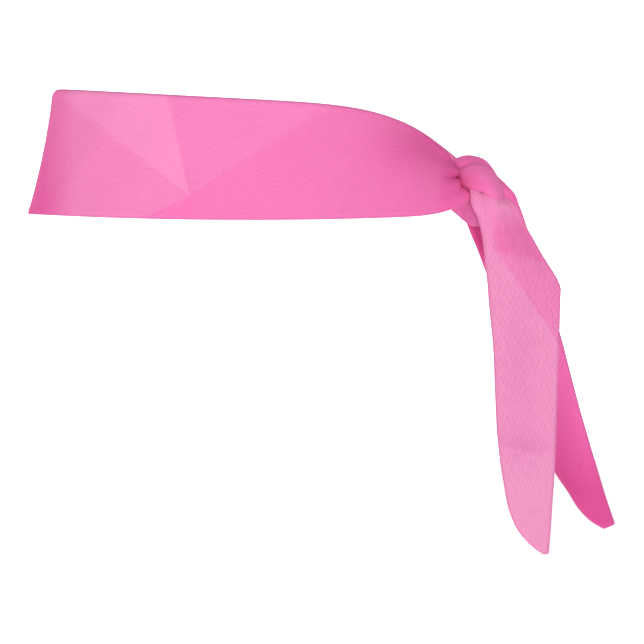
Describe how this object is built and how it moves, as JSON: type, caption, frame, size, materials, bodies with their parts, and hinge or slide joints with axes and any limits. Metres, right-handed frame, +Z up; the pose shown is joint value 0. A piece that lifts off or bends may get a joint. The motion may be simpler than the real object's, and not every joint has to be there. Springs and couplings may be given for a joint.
{
  "type": "sports headband",
  "caption": "Tie headband of pink mesh knit: a wide band round the head, knotted at the back, with two blade-cut tails.",
  "frame": {"origin": "centre of the head opening, at the band's mid height", "axes": "+Z up through the head opening, -X to the forehead, +X to the knot at the back of the head"},
  "size_m": [0.2694, 0.1532, 0.2136],
  "materials": {
    "band_print_knit": "printed mesh knit, soft sheen",
    "near_tail_knit": "printed mesh knit, soft sheen",
    "far_tail_knit": "printed mesh knit, soft sheen",
    "lining_knit": "plain fine knit, matt",
    "seam_thread": "polyester sewing thread"
  },
  "bodies": {
    "band": {"band_face": "band_print_knit", "band_lining": "lining_knit", "band_top_seam_thread": "seam_thread", "band_bottom_seam_thread": "seam_thread", "closing_stitch": "seam_thread", "knot_wrap": "band_print_knit", "knot_back_turn": "far_tail_knit", "knot_core": "far_tail_knit", "knot_crown": "band_print_knit", "knot_lower_lobe": "far_tail_knit"},
    "near_tail_upper": {"near_tail_upper_face": "near_tail_knit", "near_tail_upper_lining": "lining_knit", "near_tail_upper_seam_threads": "seam_thread"},
    "near_tail_lower": {"near_tail_lower_face": "near_tail_knit", "near_tail_lower_lining": "lining_knit", "near_tail_lower_seam_thread": "seam_thread"},
    "far_tail_upper": {"far_tail_upper_face": "far_tail_knit", "far_tail_upper_lining": "lining_knit", "far_tail_upper_seam_threads": "seam_thread"},
    "far_tail_lower": {"far_tail_lower_face": "far_tail_knit", "far_tail_lower_lining": "lining_knit", "far_tail_lower_seam_thread": "seam_thread"}
  },
  "joints": [
    {"name": "near_tail_swing", "type": "hinge", "parent": "band", "child": "near_tail_upper", "pos_m": [0.109, -0.00955, -0.021], "axis": [0, -1, 0], "range_deg": [-25, 75]},
    {"name": "near_tail_bend", "type": "hinge", "parent": "near_tail_upper", "child": "near_tail_lower", "pos_m": [0.127, -0.00955, -0.1], "axis": [-0.9882, 0, -0.153], "range_deg": [-5, 60]},
    {"name": "far_tail_swing", "type": "hinge", "parent": "band", "child": "far_tail_upper", "pos_m": [0.109, 0.00955, -0.021], "axis": [0, -1, 0], "range_deg": [-30, 65]},
    {"name": "far_tail_bend", "type": "hinge", "parent": "far_tail_upper", "child": "far_tail_lower", "pos_m": [0.1375, 0.00955, -0.102], "axis": [0.9336, 0, 0.3584], "range_deg": [-5, 60]}
  ]
}
